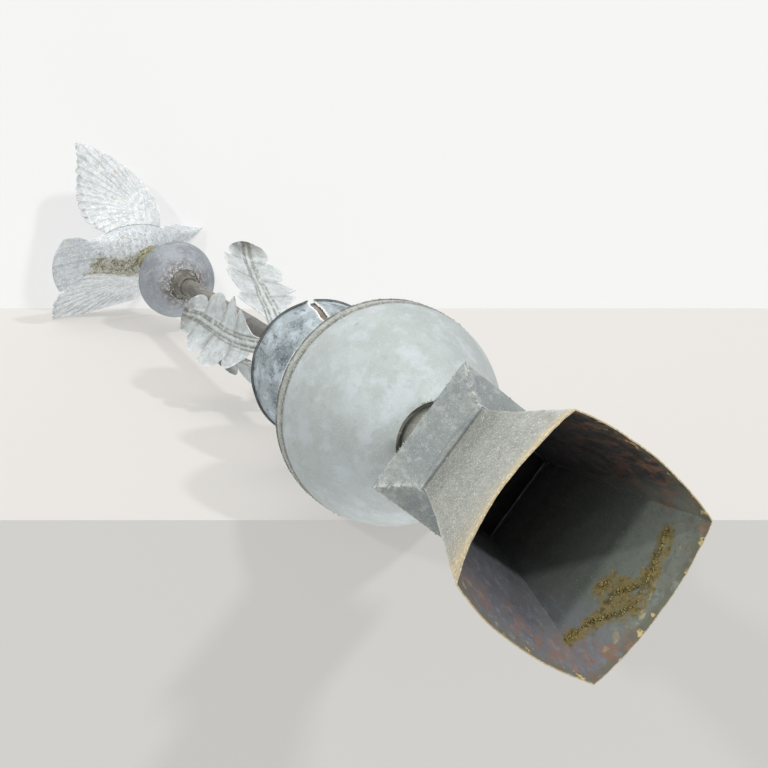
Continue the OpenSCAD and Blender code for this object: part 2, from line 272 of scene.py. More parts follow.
# Painted light: the far inner wall is marked lighter near the mouth, where light falls in.
far_wall_light = np.clip(boot_grid[..., 1] / 40 - 1.2, 0, 1) * np.exp(-height / 170)
boot_marks = {"hip": hip, "mortar": np.clip(mortar, 0, 1), "crust": np.clip(crust_mark, 0, 1),
              "left": left_wall_light, "rust": np.clip(rusty, 0, 1), "far": far_wall_light,
              "shaded_top": height > waist_z - 1.5}
boot_outside = finish("boot outside", "91948c", [
    ("8a8e88", 0.75, 60, 0.40, 0.62), ("a1a298", 0.6, 16, 0.48, 0.66, (1, 1, 3)),
    ("6c716c", 0.75, 2.6, 0.52, 0.66, (1, 1, 2.0)), ("c6c7bb", 0.8, 1.7, 0.54, 0.64, (1, 1, 1.6)),
    ("b7a57e", 1.0, 14, 0.22, 0.50, None, "mortar"), ("d6cbaa", 0.9, 4, 0.52, 0.62, None, "mortar"),
    # Painted shade: the boot's top edge, inside the waist band, is painted near black.
    ("2c2b2c", 1.0, 40, 0.0, 0.05, None, "shaded_top"),
    ("e2e1d8", 0.8, 3, 0.60, 0.66), ("c6c8c2", 0.55, 10, 0.30, 0.55, None, "hip")],
    bumps=((60, 1.2), (6, 0.25), (1.2, 0.12)))
# The near-black base stands in for the shade deep inside the boot: painted shade, darker than its zinc.
boot_inside = finish("boot inside", "3b3b3c", [
    ("2c2b2c", 0.8, 40, 0.40, 0.62), ("4c4d48", 0.7, 14, 0.50, 0.68),
    # Painted light: these layers make the far wall lighter near the mouth.
    ("858d83", 1.0, 40, 0.05, 0.40, None, "far"), ("626a63", 0.7, 9, 0.50, 0.64, None, "far"),
    ("9aa096", 0.6, 3, 0.58, 0.68, None, "far"),
    # Painted light: these layers make the left wall lighter and blue grey near the mouth.
    ("777b84", 1.0, 30, 0.10, 0.45, None, "left"), ("93969e", 0.6, 7, 0.52, 0.66, (1, 1, 2.5), "left"),
    ("9c6a4c", 0.9, 16, 0.46, 0.60, (1, 1, 2), "rust"), ("7c3f26", 0.8, 5, 0.58, 0.68, (1, 1, 2), "rust"),
    ("827344", 1.0, 10, 0.05, 0.25, None, "crust"), ("55491f", 0.85, 5, 0.48, 0.62, None, "crust"),
    ("a49a74", 0.7, 2.5, 0.56, 0.64, None, "crust"),
    ("cfccb8", 0.7, 1.8, 0.68, 0.72), ("6e6c5c", 0.8, 14, 0.36, 0.52, None, "mortar"),
    ("d8c486", 0.95, 15, 0.60, 0.64, None, "mortar")],
    roughness=(0.6, 0.85), bumps=((40, 1.0), (5, 0.35), (1.2, 0.12)), metallic=0.1)
boot = sheet_piece("boot", boot_grid, [boot_outside, boot_inside], marks=boot_marks, crease=30)
settle(boot, "zinc", "boot")

# Lumps of old mortar and dirt cling to the inside of the far wall, where water ran down it.


def new_tree(name, **sizes):
    """A node tree with a named input for each size and for the finish, and those inputs' sockets.

    An underscore in a size's name stands for a space, and a whole number makes a whole input."""
    tree = bpy.data.node_groups.new(name, "GeometryNodeTree")
    tree.interface.new_socket("Geometry", in_out="INPUT", socket_type="NodeSocketGeometry")
    for label, value in sizes.items():
        kind = "NodeSocketInt" if isinstance(value, int) else "NodeSocketFloat"
        socket = tree.interface.new_socket(label.replace("_", " "), in_out="INPUT", socket_type=kind)
        socket.default_value = value
    tree.interface.new_socket("Finish", in_out="INPUT", socket_type="NodeSocketMaterial")
    tree.interface.new_socket("Geometry", in_out="OUTPUT", socket_type="NodeSocketGeometry")
    return tree, tree.nodes.new("NodeGroupInput").outputs


def ended(tree, given, shape):
    """Ends a tree with its shape made real and given its finish."""
    real = add_node(tree, "GeometryNodeRealizeInstances", shape)
    painted = add_node(tree, "GeometryNodeSetMaterial", real, named={"Material": given["Finish"]})
    add_node(tree, "NodeGroupOutput", painted)
    return tree


def grown(piece, tree, sizes):
    """Runs a node tree on a piece with its inputs set, and keeps the result as a plain mesh."""
    modifier = piece.modifiers.new(tree.name, "NODES")
    modifier.node_group = tree
    for item in tree.interface.items_tree:
        if item.in_out == "INPUT" and item.name in sizes:
            modifier[item.identifier] = sizes[item.name]
    return plain_mesh(piece)


def lump_tree():
    """Lumps set along the edges of a mesh and joined into one mesh."""
    tree, given = new_tree("lumps", Spacing=0.004, Size=0.002, Scatter=0.002, Flatness=0.6, Seed=1)
    curve = add_node(tree, "GeometryNodeMeshToCurve", given["Geometry"])
    points = add_node(tree, "GeometryNodeResampleCurve", mode="LENGTH", named={
        "Curve": curve, "Length": given["Spacing"]})

    def scatter(low, high, shift, kind="FLOAT"):
        node = add_node(tree, "FunctionNodeRandomValue", data_type=kind)
        sockets = [s for s in node.inputs if s.enabled]
        for socket, value in zip(sockets, (low, high)):
            socket.default_value = value
        seed = next(s for s in sockets if s.name == "Seed")
        tree.links.new(reckon(tree, "ADD", given["Seed"], shift), seed)
        return next(s for s in node.outputs if s.enabled)

    offset = add_node(tree, "ShaderNodeVectorMath", scatter((-1, -1, -1), (1, 1, 1), 1, "FLOAT_VECTOR"),
                      operation="SCALE", named={"Scale": given["Scatter"]})
    moved = add_node(tree, "GeometryNodeSetPosition", points, named={"Offset": offset})
    lump = add_node(tree, "GeometryNodeMeshIcoSphere", 1.0, 2)
    wobble = add_node(tree, "ShaderNodeTexNoise", noise_dimensions="3D", named={"Scale": 1.3})
    swell = add_node(tree, "ShaderNodeMapRange", wobble, 0.25, 0.75, -0.35, 0.35)
    push = add_node(tree, "ShaderNodeVectorMath", add_node(tree, "GeometryNodeInputPosition"),
                    operation="SCALE", named={"Scale": swell})
    shaped = add_node(tree, "GeometryNodeSetPosition", lump, named={"Offset": push})
    size = reckon(tree, "MULTIPLY", given["Size"], scatter(0.45, 1.25, 2))
    flat = reckon(tree, "MULTIPLY", size, given["Flatness"])
    smooth_lump = add_node(tree, "GeometryNodeSetShadeSmooth", shaped)
    placed = add_node(tree, "GeometryNodeInstanceOnPoints", named={
        "Points": moved, "Instance": smooth_lump,
        "Scale": add_node(tree, "ShaderNodeCombineXYZ", size, size, flat),
        "Rotation": scatter((0, 0, 0), (6.28, 6.28, 6.28), 3, "FLOAT_VECTOR")})
    return ended(tree, given, placed)


lumps = lump_tree()


def lump_piece(name, paths, material, slot, spacing, size, scatter, seed, flatness=0.6):
    """Lumps in millimetres along paths, as solder or crust is left along a joint."""
    mesh = bpy.data.meshes.new(name)
    points, edges = [], []
    for path in paths:
        edges += [(len(points) + k, len(points) + k + 1) for k in range(len(path) - 1)]
        points += [tuple(c * MM for c in p) for p in path]
    mesh.from_pydata(points, edges, [])
    piece = grown(in_scene(name, mesh), lumps, {
        "Spacing": spacing * MM, "Size": size * MM, "Scatter": scatter * MM, "Flatness": flatness,
        "Seed": seed, "Finish": material})
    settle(piece, slot)


mortar_crust = finish("mortar crust", "877a48", [
    ("5f5426", 0.8, 5, 0.45, 0.60), ("b4a878", 0.7, 2, 0.55, 0.65)], roughness=(0.8, 0.95), metallic=0.0)
far_side = boot_grid[:, 2 * boot_side_points:3 * boot_side_points].reshape(-1, 3)
crust_inward = 3.2
crust_lines = []
for trail in crust_trails:
    for shift in (-2.5, 0, 2.5):
        line = []
        for a, b in zip(np.array(trail[:-1], float), np.array(trail[1:], float)):
            for p in a + (b - a) * np.linspace(0, 1, 8)[:, None] + [shift, 0, 0]:
                nearest = far_side[np.argmin(np.hypot(far_side[:, 0] - p[0], far_side[:, 2] - p[2]))]
                line.append((p[0], nearest[1] - crust_inward, p[2]))
        crust_lines.append(line)
lump_piece("boot_crust", crust_lines, mortar_crust, "crust", 3.0, 1.7, 1.1, 5)

# ---- Waist band and collar ----
# A folded band joins the boot's neck to the collar, and the collar's four flared sheets meet in
# a sharp edge with an upright lip. A hollow roof closes in from that lip to the round neck.
# The hips and the edge are run with solder, which has gone pale.

band_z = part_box("waist_band")[1].z / MM
roof_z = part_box("collar")[1].z / MM
neck_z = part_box("collar_roof")[1].z / MM
collar_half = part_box("collar")[1].x / MM
lip_h = 4
neck_r = 45
square_points = 30

zinc_layers = [("7d8486", 0.7, 45, 0.42, 0.62), ("a9afac", 0.6, 12, 0.50, 0.68),
               ("646b6c", 0.5, 4, 0.56, 0.70), ("c3c7c1", 0.6, 1.5, 0.56, 0.66),
               ("d9dbd4", 0.6, 3, 0.66, 0.72)]
# The dark groove layer is painted shade in the hollows of the waist band's folds.
collar_zinc = finish("collar zinc", "8b918e", zinc_layers + [
    ("cfd2cd", 0.75, 7, 0.38, 0.56, None, "hip"), ("5a5e5a", 0.9, 9, 0.20, 0.40, None, "groove_shade")],
    bumps=((40, 1.0), (6, 0.3), (1.2, 0.12)))
inner_zinc = finish("dull inner zinc", "4a4b4a", [
    ("343434", 0.7, 30, 0.42, 0.62), ("65665f", 0.5, 8, 0.55, 0.70)], metallic=0.1)
solder = finish("old solder", "b9bdb6", [
    ("8d928e", 0.7, 5, 0.45, 0.60), ("dfe1da", 0.8, 2, 0.55, 0.65)], roughness=(0.45, 0.7), metallic=0.35)


def dented(ring, size, depth, turn):
    """A ring of points moved in and out a little."""
    moved = []
    for p in ring:
        out = Vector((p[0], p[1], 0)).normalized() * depth * rough(p, size, turn)
        moved.append((p[0] + out.x, p[1] + out.y, p[2]))
    return moved


def hip_mark(rows, per_side, reach):
    """1 on the hips of a square piece and 0 along the middle of its sides."""
    u = np.tile(np.abs(2 * np.arange(per_side) / per_side - 1), 4)
    return np.exp(-(1 - u) / reach)[None, :] * np.ones((rows, 1))


band_rows = 25
band_grid = []
for row in range(band_rows):
    t = row / (band_rows - 1)
    out = 2.4 + 1.9 * math.sin(3 * math.pi * t) ** 2 - 3.0 * max(0, abs(2 * t - 1) - 0.86) / 0.14
    ring = square_ring(waist_half + out, 0, waist_z - 1 + (band_z - waist_z + 2) * t, square_points, 1.2)
    band_grid.append(dented(ring, 20, 0.4, 5))
# The groove numbers paint the band darker in the hollows between its folds: painted shade.
band = sheet_piece("waist_band", band_grid, [collar_zinc, inner_zinc], thickness=2.5,
                   marks={"hip": hip_mark(band_rows, square_points, 0.1) + 0.2,
                          "groove_shade": np.repeat([math.cos(3 * math.pi * t) ** 6
                                               for t in np.linspace(0, 1, band_rows)], 4 * square_points)},
                   crease=60)
settle(band, "zinc", "waist_band")


def collar_flare(t):
    """Half the collar's width, from its waist at 0 to its edge at 1."""
    return waist_half + (collar_half - waist_half) * (t * (0.52 + 0.48 * t))


collar_rows = 30
collar_grid = []
for row in range(collar_rows + 3):
    t = min(row / (collar_rows - 1), 1)
    lip = max(0, row - collar_rows + 1) / 3 * lip_h
    z = band_z + (roof_z - lip_h - band_z) * t + lip
    collar_grid.append(dented(square_ring(collar_flare(t), 0, z, square_points, 0.6 * t), 26, 0.9 * t, 7))
collar_edge = np.exp(-(roof_z - np.array(collar_grid)[..., 2]) / 4)
collar = sheet_piece("collar", collar_grid, [collar_zinc, inner_zinc], crease=28,
                     marks={"hip": np.clip(hip_mark(collar_rows + 3, square_points, 0.07)
                                           + 0.7 * collar_edge, 0, 1)})
settle(collar, "zinc", "collar")

roof_rows = 34
roof_grid = []
for row in range(roof_rows):
    t = row / (roof_rows - 1)
    z = roof_z + (neck_z - roof_z) * t
    ring = []
    for x, y, _ in square_ring(collar_half, 0, z, square_points):
        close = t ** 0.7
        k = neck_r / math.hypot(x, y)
        ring.append((x + (x * k - x) * close, y + (y * k - y) * close, z))
    roof_grid.append(dented(ring, 24, 0.9 * min(1, 4 * t, 4 * (1 - t)), 9))
roof = sheet_piece("collar_roof", roof_grid, [collar_zinc, inner_zinc], crease=32,
                   marks={"hip": hip_mark(roof_rows, square_points, 0.08)})
settle(roof, "zinc", "collar_roof")

collar_hips = [[(sx * collar_flare(t), sy * collar_flare(t), band_z + (roof_z - lip_h - band_z) * t)
                for t in np.linspace(0.05, 0.97, 14)] for sx in (-1, 1) for sy in (-1, 1)]
lump_piece("collar_hip_solder", collar_hips, solder, "pale_zinc", 2.2, 1.5, 0.9, 11, 0.5)
lip_ring = square_ring(collar_half, 0, roof_z, 40)
lump_piece("collar_edge_solder", [lip_ring + lip_ring[:1]], solder, "pale_zinc", 3.6, 1.0, 0.8, 12, 0.5)

# ---- Neck ----
# The neck is a short tube that rises from the collar's roof into the globe, where its flange is
# soldered to the bowl. The hole in the globe is cut wide of it and its edge is flecked with solder.

cream_zinc = finish("cream zinc", "92948a", [
    ("85867b", 0.7, 14, 0.45, 0.62), ("d4d5cb", 0.6, 3, 0.55, 0.66), ("6a6456", 0.6, 5, 0.60, 0.70)])


def repaint(node, material):
    """Gives a solid that stays as it is its own finish."""
    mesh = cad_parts[node].data
    mesh.materials.clear()
    mesh.materials.append(material)
    return mesh


repaint("neck", cream_zinc)

hole_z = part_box("globe_bowl")[0].z / MM
hole_r = 55


def circle(radius, z, count=60, first=0.0, last=360.0):
    """Points round a circle, or round a part of one, about the stem."""
    return [(radius * math.cos(math.radians(first + (last - first) * k / count)),
             radius * math.sin(math.radians(first + (last - first) * k / count)), z)
            for k in range(count + 1)]


lump_piece("globe_hole_solder", [circle(hole_r + 0.5, hole_z + 0.5, 60, -60, 170)], solder, "pale_zinc",
           2.4, 1.5, 1.6, 21)
lump_piece("neck_foot_solder", [circle(neck_r + 1, neck_z + 0.5)], solder, "pale_zinc", 2.6, 1.6, 1.0, 22)

# ---- Globe ----
# The globe is two bowls of zinc spun over a former, soldered together at an upright rim band.
# The zinc has weathered to a pale blue grey, lighter above and greener below, with fine specks,
# small scratches and pale solder along the seam, and dark lines painted as shade in the rim band's grooves.

spun_columns = 193
spun_rows = 65
spin_marks = 90.0


def spun_tree():
    """A spun bowl: part of an ellipse turned about the axis and pinched in between its ends, with
    soft dents and turning marks."""
    tree, given = new_tree("spun bowl", Radius=0.15, Depth=0.15, From_angle=0.0, To_angle=1.4,
                           Middle_height=0.5, Pinch=0.0, Pinch_power=1.0, Dents=0.0005, Marks=0.0001,
                           Turn=1.0)

    def step(kind, *values):
        return reckon(tree, kind, *values)

    grid = add_node(tree, "GeometryNodeMeshGrid", 1.0, 1.0, spun_columns, spun_rows)
    at = add_node(tree, "ShaderNodeSeparateXYZ", add_node(tree, "GeometryNodeInputPosition"))
    up = step("ADD", at.outputs[1], 0.5)
    kept = add_node(tree, "GeometryNodeStoreNamedAttribute", named={
        "Geometry": grid, "Name": "up"})
    tree.links.new(up, next(s for s in kept.inputs if s.name == "Value" and s.enabled))
    turn = step("MULTIPLY", step("ADD", at.outputs[0], 0.5), 2 * math.pi)
    angle = step("MULTIPLY_ADD", step("SUBTRACT", given["To angle"], given["From angle"]), up,
                 given["From angle"])
    arch = step("MAXIMUM", step("SINE", step("MULTIPLY", up, math.pi)), 0.0)
    pinch = step("MULTIPLY", step("POWER", arch, given["Pinch power"]), given["Pinch"])
    radius = step("SUBTRACT", step("MULTIPLY", step("COSINE", angle), given["Radius"]), pinch)
    z = step("MULTIPLY_ADD", step("SINE", angle), given["Depth"], given["Middle height"])
    where = add_node(tree, "ShaderNodeCombineXYZ", step("MULTIPLY", radius, step("COSINE", turn)),
                     step("MULTIPLY", radius, step("SINE", turn)), z)
    turned = add_node(tree, "GeometryNodeSetPosition", kept, named={"Position": where})
    closed = add_node(tree, "GeometryNodeMergeByDistance", turned, named={"Distance": 0.00002})
    soft = add_node(tree, "ShaderNodeTexNoise", noise_dimensions="4D", named={
        "Scale": 14.0, "Detail": 2.0, "W": given["Turn"]})
    dent = step("MULTIPLY", step("SUBTRACT", soft, 0.5), given["Dents"])
    ring = step("MULTIPLY", step("SINE", step("MULTIPLY", angle, spin_marks)), given["Marks"])
    push = add_node(tree, "ShaderNodeVectorMath", add_node(tree, "GeometryNodeInputNormal"),
                    operation="SCALE", named={"Scale": step("ADD", dent, ring)})
    beaten = add_node(tree, "GeometryNodeSetPosition", closed, named={"Offset": push})
    return ended(tree, given, beaten)


spun = spun_tree()


def spun_piece(name, radius, depth, first, last, middle, dents, marks, turn, materials, pinch=0,
               pinch_power=1):
    """A spun bowl in millimetres and degrees, with its wall's thickness added inside."""
    piece = grown(in_scene(name, bpy.data.meshes.new(name)), spun, {
        "Radius": radius * MM, "Depth": depth * MM, "From angle": math.radians(first),
        "To angle": math.radians(last), "Middle height": middle * MM, "Pinch": pinch * MM,
        "Pinch power": pinch_power, "Dents": dents * MM, "Marks": marks * MM, "Turn": turn,
        "Finish": materials[0]})
    mesh = piece.data
    middle_point = Vector((0, 0, middle * MM))
    facing = sum((f.center - middle_point).dot(f.normal) * f.area for f in mesh.polygons)
    if facing < 0:
        mesh.flip_normals()
    if len(materials) > 1:
        mesh.materials.append(materials[1])
    wall = piece.modifiers.new("wall", "SOLIDIFY")
    wall.thickness = SHEET * MM
    wall.offset = -1
    wall.material_offset = len(materials) - 1
    plain_mesh(piece)
    piece.data.shade_smooth()
    piece.data.set_sharp_from_angle(angle=math.radians(50))
    return piece


globe_r = 150
seam_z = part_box("globe_bowl")[1].z / MM
dome_z = seam_z + 28
cup_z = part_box("globe_dome")[1].z / MM
bowl_from = math.degrees(math.acos(hole_r / globe_r))
bowl_depth = (seam_z - hole_z) / math.sin(math.radians(bowl_from))
globe_zinc = finish("globe zinc", "b3bab9", [
    ("a3aaa6", 0.7, 90, 0.40, 0.62), ("bfc7cb", 0.6, 35, 0.46, 0.66),
    ("9aa19e", 0.35, 9, 0.52, 0.70, (1, 1, 2.5)), ("c9cfd0", 0.5, 1.8, 0.54, 0.66),
    ("8e9592", 0.5, 1.2, 0.60, 0.70), ("6d6a60", 0.75, 5, 0.72, 0.76), ("e3e6e4", 0.7, 2.6, 0.66, 0.72),
    ("8d9389", 0.55, 26, 0.46, 0.62, (1, 1, 1.6), "edge"), ("7a6a55", 0.9, 7, 0.60, 0.66, None, "edge"),
    ("5a5044", 0.95, 4, 0.20, 0.40, None, "chip")],
    bumps=((60, 0.8), (7, 0.16), (1.4, 0.07)), roughness=(0.5, 0.7), metallic=0.2)
bowl = spun_piece("globe_bowl", globe_r, -bowl_depth, bowl_from, 0, seam_z, 2.2, 0.05, 3,
                  [globe_zinc, inner_zinc], pinch=10, pinch_power=2)
up = np.zeros(len(bowl.data.vertices))
bowl.data.attributes["up"].data.foreach_get("value", up)
mark(bowl.data, "edge", np.clip((up - 0.93) / 0.07, 0, 1) + np.clip((0.06 - up) / 0.06, 0, 1))
places = np.array([v.co for v in bowl.data.vertices]) / MM
chips = (near_path(places, ((64, -132, 537), (67, -130, 535)), 3.5)
         + near_path(places, ((71, -127, 531), (73, -125, 529)), 3)
         + 0.8 * near_path(places, ((5, -102, 441), (2, -90, 430), (0, -84, 423)), 2.6))
mark(bowl.data, "chip", np.clip(chips, 0, 1))
settle(bowl, "pale_zinc", "globe_bowl")

cup_foot_r = 36
dome_to = math.degrees(math.acos(cup_foot_r / globe_r))
dome_depth = (cup_z - dome_z) / math.sin(math.radians(dome_to))
dome = spun_piece("globe_dome", globe_r, dome_depth, 0, dome_to, dome_z, 2.2, 0.05, 8,
                  [globe_zinc, inner_zinc], pinch=14)
settle(dome, "zinc", "globe_dome")


def profile_at(radius, height, *offsets):
    """A profile of radii and heights, given as offsets from one radius and one height."""
    return [(radius + r, height + z) for r, z in offsets]


def turned_grid(profile, columns, size, depth, turn):
    """A profile of radii and heights turned about the stem, with soft dents."""
    grid = []
    for r, z in profile:
        ring = []
        for k in range(columns):
            a = 2 * math.pi * k / columns
            p = (r * math.cos(a), r * math.sin(a), z)
            out = 1 + depth * rough(p, size, turn) / max(r, 1)
            ring.append((p[0] * out, p[1] * out, z))
        grid.append(ring)
    return grid


rim_profile = profile_at(
    globe_r, seam_z, (-0.6, -3.4), (0.6, -2.8), (0.9, -1.6), (0.6, -0.6), (-0.5, 0), (0.8, 0.9), (1.3, 2.4),
    (0.9, 4.0), (0.3, 5.0), (0.35, 9.0), (0.6, 14.0), (0.5, 20.0), (0.3, 24.5), (1.1, 25.4), (1.4, 26.6),
    (0.7, 28.0), (-0.6, 28.8))
# Each row's darkness on the rim band is painted shade in its grooves and where its edges tuck in.
rim_groove_shade = [0.2, 0.3, 0.2, 0.6, 1.0, 0.6, 0.1, 0.3, 0.8, 0.2, 0.0, 0.0, 0.6, 0.8, 0.2, 0.5, 0.8]
rim_columns = 300
rim_zinc = finish("rim band zinc", "9c9f98", [
    ("868a84", 0.7, 30, 0.42, 0.62), ("b4b8b2", 0.7, 7, 0.48, 0.64), ("d2d5cf", 0.8, 2.2, 0.55, 0.64),
    ("504e47", 0.95, 1.8, 0.58, 0.66), ("45423b", 0.95, 9, 0.36, 0.50, None, "groove_shade")],
    bumps=((20, 0.8), (4, 0.4), (1.2, 0.15)))
rim_band = sheet_piece("rim_band", turned_grid(rim_profile, rim_columns, 26, 0.5, 4), [rim_zinc],
                       crease=50, marks={"groove_shade": np.repeat(rim_groove_shade, rim_columns)})
settle(rim_band, "zinc")
lump_piece("rim_solder", [circle(globe_r + 1.0, seam_z + 1.2, 180), circle(globe_r + 0.9, dome_z - 1.6, 180)],
           solder, "pale_zinc", 4.2, 1.1, 1.0, 31, 0.4)

# ---- Cup ----
# The cup is one sheet rolled round and soldered up its side, and that seam has burst open from
# the rim. A low cone of zinc closes it round the stem.

cup_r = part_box("cup")[1].x / MM
rim_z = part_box("cup")[1].z / MM
cup_h = rim_z - cup_z
split_turn = -47
split_w = 10
split_h = 95
split_taper = 25
cup_curve = 1.7
cup_rows = 64
cup_columns = 260
strap_rows = 24
strap_inset = 3.4


def cup_bow(t):
    """The cup's radius, from its foot at 0 to its rim at 1."""
    return cup_foot_r + (cup_r - cup_foot_r) * (1 - (1 - t) ** cup_curve) ** (1 / cup_curve)


cup_grid, cup_marks, cup_split = [], [], []
for row in range(cup_rows + 4):
    t = min(row / (cup_rows - 1), 1)
    r = cup_bow(t)
    z = cup_z + cup_h * t
    curl = max(0, row - cup_rows + 1)
    r += (0, 0.9, 1.5, 1.3, 0.7)[curl]
    z += (0, 0.2, -0.4, -1.4, -2.2)[curl]
    open_here = clamp((z - rim_z + split_h) / split_taper)
    ring, ring_split = [], []
    for k in range(cup_columns):
        side = -1 if k > cup_columns / 2 else 1
        ragged = 1.2 * rough((side * 40, 0, z), 5, 13) + 1.4 * rough((side * 40, 9, z), 17, 14)
        half_gap = open_here * (split_w / 2 + ragged) / r
        k_share = k / (cup_columns - 1)
        k_share -= 0.85 * math.sin(2 * math.pi * k_share) / (2 * math.pi)
        a = half_gap + (2 * math.pi - 2 * half_gap) * k_share
        away = min(k_share, 1 - k_share) * 2 * math.pi * r
        close = math.exp(-away / 9) * open_here
        ring_split.append(math.exp(-(away / 2.6) ** 2) * open_here)
        p = (r * math.cos(a), r * math.sin(a), z)
        out = 1 + (0.8 * rough(p, 34, 15) + 1.6 * close * (0.4 + rough(p, 12, 16))) / r
        b = a + math.radians(split_turn)
        ring.append((r * out * math.cos(b), r * out * math.sin(b), z))
    cup_grid.append(ring)
    cup_marks.append([max(0, 1 - (rim_z - z) / 2.5)] * cup_columns)
    cup_split.append(ring_split)
cup_zinc = finish("cup zinc", "9ea8ac", [
    ("717b7f", 0.85, 46, 0.44, 0.60), ("b9c5cc", 0.8, 24, 0.50, 0.62),
    ("565d5f", 0.8, 13, 0.56, 0.68, (1, 1, 1.8)), ("c3ccd0", 0.7, 3, 0.55, 0.66),
    ("4a4c4a", 0.7, 3, 0.60, 0.70), ("5c5b57", 0.8, 20, 0.34, 0.50, None, "rim"),
    ("eceeea", 1.0, 12, 0.10, 0.30, None, "split")],
    bumps=((30, 1.0), (6, 0.25), (1.2, 0.1)))
cup = sheet_piece("cup", cup_grid, [cup_zinc, inner_zinc], closed=False, crease=50,
                  marks={"rim": cup_marks, "split": cup_split})
settle(cup, "dark_zinc", "cup")
strap_grid = []
for row in range(strap_rows):
    t = 0.28 + 0.71 * row / (strap_rows - 1)
    r = cup_bow(t) - strap_inset
    strap_grid.append([(r * math.cos(a), r * math.sin(a), cup_z + cup_h * t)
                       for a in np.radians(split_turn) + np.linspace(-16, 16, 15) / r])
strap_zinc = finish("strap zinc", "8a7f75", [
    ("6f655c", 0.8, 12, 0.42, 0.60, (1, 1, 3)), ("a79d92", 0.7, 4, 0.52, 0.66)])
strap = sheet_piece("cup_seam_strap", strap_grid, [strap_zinc], thickness=1.2, closed=False, crease=60)
settle(strap, "brown_stem")
repaint("cup_cover", finish("cover zinc", "8b9396", zinc_layers)).shade_smooth()

# ---- Stem ----
# The stem is one long zinc tube, gone brown grey with soot. Solder holds the cup's cover and the
# leaves to it, and a short sleeve at its upper end is soldered into the ball.

stem_low, stem_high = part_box("stem")
stem_r = 17
ball_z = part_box("ball_lower")[1].z / MM
ball_r = ball_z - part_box("ball_lower")[0].z / MM
leaf_z = rim_z + 200
stem_zinc = finish("stem zinc", "726f68", [
    ("57534b", 0.85, 30, 0.42, 0.60, (1, 1, 3)), ("93948f", 0.6, 12, 0.52, 0.66, (1, 1, 4)),
    ("55483a", 0.5, 8, 0.58, 0.70, (1, 1, 3)), ("b5b6b0", 0.6, 2, 0.60, 0.68)])
stem_profile = [(stem_r, z) for z in np.linspace(stem_low.z / MM, stem_high.z / MM, 150)]
stem = sheet_piece("stem", turned_grid(stem_profile, 48, 40, 0.5, 17), [stem_zinc], thickness=3)
settle(stem, "brown_stem", "stem")
lump_piece("stem_solder", [circle(stem_r + 1, rim_z + 19.5, 30), circle(stem_r + 1.5, leaf_z + 2, 30),
                           circle(stem_r + 1.5, leaf_z + 8, 30)], solder, "pale_zinc", 3.0, 2.2, 1.6, 41)

# ---- Ball ----
# Two spun halves lap at the ball's middle and show the rings of the spinning. The ball is darker
# than the globe, and rust and pale solder have run round the place where the stem enters.

ball_zinc = finish("ball zinc", "979ca1", [
    ("7a7f84", 0.75, 45, 0.42, 0.62), ("9ea4a8", 0.7, 16, 0.50, 0.66),
    ("5c5f62", 0.6, 6, 0.56, 0.70), ("c0c5c7", 0.7, 2.2, 0.58, 0.68),
    ("6e4636", 0.9, 10, 0.46, 0.58, None, "pole"), ("c9ccca", 0.95, 6, 0.52, 0.60, None, "pole"),
    ("4d4c4a", 0.5, 18, 0.40, 0.60, None, "pole")],
    bumps=((20, 0.5), (4, 0.2), (1.2, 0.1)))
entry = math.degrees(math.acos((stem_r + 0.3) / ball_r))
ball_lower = spun_piece("ball_lower", ball_r, -ball_r, entry, 0, ball_z, 1.2, 0.16, 5, [ball_zinc])
places = np.array([v.co for v in ball_lower.data.vertices]) / MM
mark(ball_lower.data, "pole", np.clip((56 - np.hypot(places[:, 0], places[:, 1])) / 30, 0, 1))
settle(ball_lower, "dark_zinc", "ball_lower")
ball_upper = spun_piece("ball_upper", ball_r + 0.4, ball_r, 0, 90, ball_z, 1.2, 0.16, 6, [ball_zinc])
settle(ball_upper, "dark_zinc", "ball_upper")
seam_profile = profile_at(ball_r, ball_z, (-0.5, -1.6), (0.9, -1.2), (1.2, 0.6), (1.1, 3.6), (0.6, 4.2),
                          (-0.6, 4.4))
ball_seam = sheet_piece("ball_seam", turned_grid(seam_profile, 160, 14, 0.4, 19), [ball_zinc], crease=60)
settle(ball_seam, "dark_zinc")
sleeve_profile = profile_at(stem_r, ball_z, (0.2, -116), (2.4, -116.5), (4.2, -114), (4.6, -110),
                            (4.0, -100), (4.2, -88), (6.0, -80), (11.0, -75.5), (14.0, -73.0))
sleeve = sheet_piece("stem_sleeve", turned_grid(sleeve_profile, 64, 10, 1.2, 20), [stem_zinc], crease=60)
settle(sleeve, "brown_stem")
entry_rings = [circle(stem_r + 8, ball_z - 76.2, 40), circle(stem_r + 15, ball_z - 73.5, 40)]
lump_piece("ball_entry_solder", entry_rings, solder, "pale_zinc", 4.6, 2.2, 1.7, 51, 0.4)

# ---- Oak leaves ----
# Four oak leaves stamped from thin zinc are soldered round the stem by their stalks. Each springs
# out, stands up and curls over at the tip, with round lobes and ribs that stand proud below.

leaf_turns = (-51, -129, -200, 48)
leaf_bends = (9, 1, -7, 4)
leaf_len = 260
leaf_half = 60
leaf_leans = (46, 30, 15, 8, 8, 16, 58)
leaf_drift = 11
leaf_twist = -32
leaf_fold = 0.22
leaf_outline = (0.16, 0.30, 0.85, 1.0, 0.97, 0.88, 0.74, 0.5)
leaf_lobes = 4
leaf_rows = 140
leaf_columns = 61


def smooth(t, stations):
    """A smooth curve through a list of stations, for t from 0 to 1."""
    p = np.asarray(stations, float)
    n = len(p) - 1
    i = min(int(t * n), n - 1)
    u = t * n - i
    a, b, c, d = p[max(i - 1, 0)], p[i], p[i + 1], p[min(i + 2, n)]
    return 0.5 * (2 * b + (c - a) * u + (2 * a - 5 * b + 4 * c - d) * u * u
                  + (3 * b - a - 3 * c + d) * u ** 3)


def zigzag(x):
    """0 in the middle of each whole step and 1 at its ends."""
    return abs(x - math.floor(x) - 0.5) * 2


